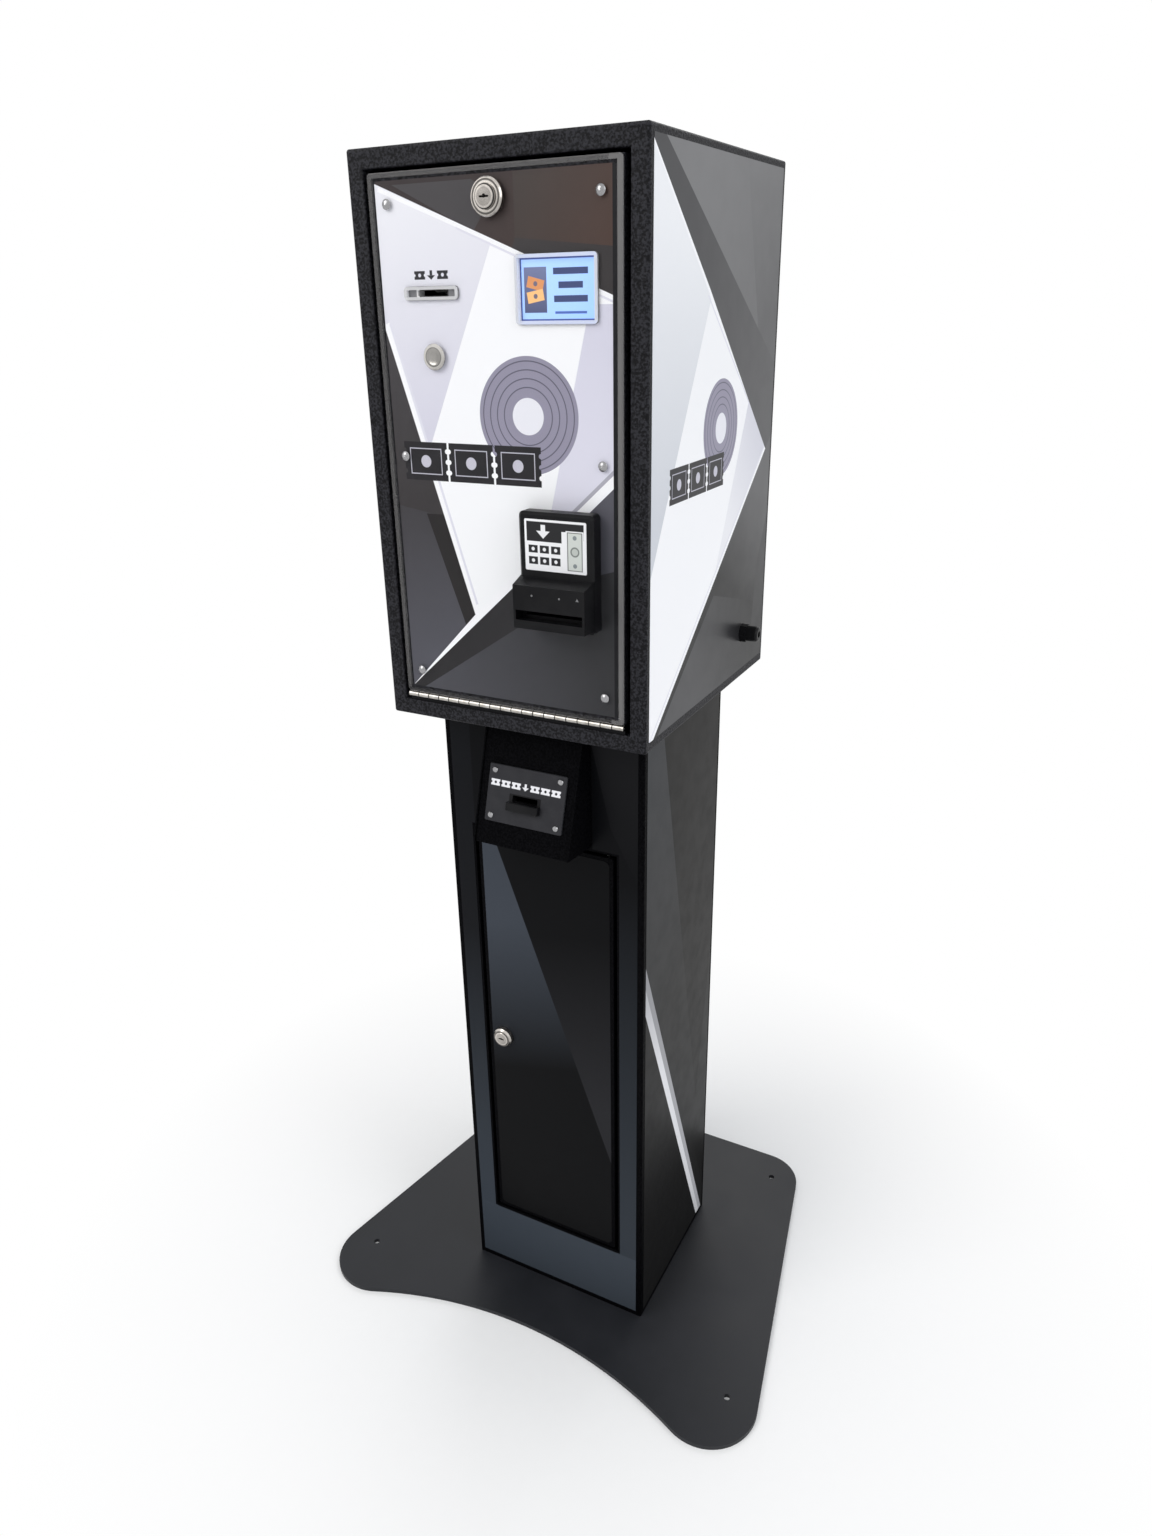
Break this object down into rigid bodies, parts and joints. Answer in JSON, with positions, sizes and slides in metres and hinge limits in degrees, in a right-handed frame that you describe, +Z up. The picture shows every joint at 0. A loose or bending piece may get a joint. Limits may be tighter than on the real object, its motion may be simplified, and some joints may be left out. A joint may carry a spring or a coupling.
{
  "type": "raffle ticket dispenser",
  "caption": "Floor-standing ticket dispenser: a steel cabinet with a drop-down front door, screen, push button and banknote slot, on a column with its own door, a return hood and a base plate.",
  "frame": {"origin": "centre of the base plate's underside, on the floor", "axes": "+Z up, +X to the right of a person facing the machine, +Y from its front to its back"},
  "size_m": [0.6752, 0.54, 1.5088],
  "materials": {
    "black_powder_coat": "textured powder coat",
    "charcoal_plate": "satin powder coat",
    "front_print": "printed film with grey facets",
    "side_print": "printed film with grey facets",
    "column_print": "printed film with dark facets",
    "clear_acrylic": "polished",
    "clear_rim": "polished",
    "nickel": "polished",
    "zinc_steel": "bright zinc",
    "bare_steel": "satin",
    "black_abs": "satin moulded",
    "grey_abs": "satin moulded",
    "bin_plastic": "satin moulded",
    "white_nylon": "satin moulded",
    "roller_rubber": "matt",
    "screen": "glossy screen",
    "circuit_board": "solder mask",
    "supply_case": "satin",
    "ticket_paper": "card"
  },
  "bodies": {
    "cabinet": {"base_plate": "charcoal_plate", "base_screws": "zinc_steel", "column": "black_powder_coat", "column_front_film": "column_print", "column_side_films": "column_print", "face_frame": "black_powder_coat", "cabinet_wrap": "black_powder_coat", "cabinet_sides": "black_powder_coat", "cabinet_side_films": "side_print", "cabinet_bolts": "zinc_steel", "hinge_frame_leaf": "bare_steel", "hinge_pin": "bare_steel", "hood_shell": "black_powder_coat", "inlet_plate": "black_powder_coat", "inlet_snout": "black_abs", "inlet_screws": "zinc_steel", "ticket_chute": "bare_steel", "collection_bin": "bin_plastic", "pivot_pins": "zinc_steel", "gland_body": "black_abs", "gland_cap": "black_abs", "gland_locknut": "black_abs", "power_supply": "supply_case", "ticket_tray": "bare_steel", "ticket_stack": "ticket_paper"},
    "front_door": {"door_panel": "black_powder_coat", "door_print": "front_print", "acrylic_panel": "clear_acrylic", "acrylic_screws": "nickel", "hinge_door_leaf": "bare_steel", "exit_rim": "clear_rim", "exit_mouth": "grey_abs", "tear_bar": "bare_steel", "display_rim": "clear_rim", "display_module": "screen", "button_body": "nickel", "button_nut": "nickel", "bill_mask": "black_abs", "bill_validator": "grey_abs", "cash_box": "grey_abs", "dispenser_chassis": "bare_steel", "dispenser_motor": "zinc_steel", "control_board": "circuit_board", "board_standoffs": "zinc_steel", "front_lock_body": "nickel", "front_lock_nut": "nickel"},
    "button": {"button_cap": "nickel"},
    "feed_roller": {"feed_shaft": "bare_steel", "feed_roller": "roller_rubber", "roller_gear": "white_nylon"},
    "pinch_roller": {"pinch_roller": "white_nylon"},
    "motor_pinion": {"motor_gear": "bare_steel"},
    "front_lock": {"front_lock_plug": "nickel", "front_lock_cam": "zinc_steel"},
    "column_door": {"column_door": "black_powder_coat", "column_door_film": "column_print", "column_lock_body": "nickel", "column_lock_nut": "nickel"},
    "column_lock": {"column_lock_plug": "nickel", "column_lock_cam": "zinc_steel"}
  },
  "joints": [
    {"name": "front_door_hinge", "type": "hinge", "parent": "cabinet", "child": "front_door", "pos_m": [0, -0.1873, 0.94585], "axis": [1, 0, 0], "range_deg": [0, 90]},
    {"name": "front_lock_turn", "type": "hinge", "parent": "front_door", "child": "front_lock", "pos_m": [0, -0.1735, 1.45845], "axis": [0, 1, 0], "range_deg": [0, 90]},
    {"name": "button_press", "type": "slide", "parent": "front_door", "child": "button", "axis": [0, 1, 0], "range_m": [0, 0.0025], "stiffness_N_per_m": 400},
    {"name": "feed_roller_spin", "type": "hinge", "parent": "front_door", "child": "feed_roller", "pos_m": [-0.072, -0.1555, 1.36655], "axis": [1, 0, 0], "continuous": true},
    {"name": "pinch_roller_spin", "type": "hinge", "parent": "front_door", "child": "pinch_roller", "pos_m": [-0.072, -0.1555, 1.38415], "axis": [1, 0, 0], "continuous": true},
    {"name": "motor_spin", "type": "hinge", "parent": "front_door", "child": "motor_pinion", "pos_m": [-0.042, -0.13461, 1.35449], "axis": [1, 0, 0], "continuous": true},
    {"name": "column_door_hinge", "type": "hinge", "parent": "cabinet", "child": "column_door", "pos_m": [0.087, -0.1185, 0.43535], "axis": [0, 0, 1], "range_deg": [0, 110]},
    {"name": "column_lock_turn", "type": "hinge", "parent": "column_door", "child": "column_lock", "pos_m": [-0.072, -0.1115, 0.43535], "axis": [0, 1, 0], "range_deg": [0, 90]}
  ],
  "couplings": [
    {"joint": "pinch_roller_spin", "follows": "feed_roller_spin", "ratio": -1.4286},
    {"joint": "motor_spin", "follows": "feed_roller_spin", "ratio": -3}
  ]
}
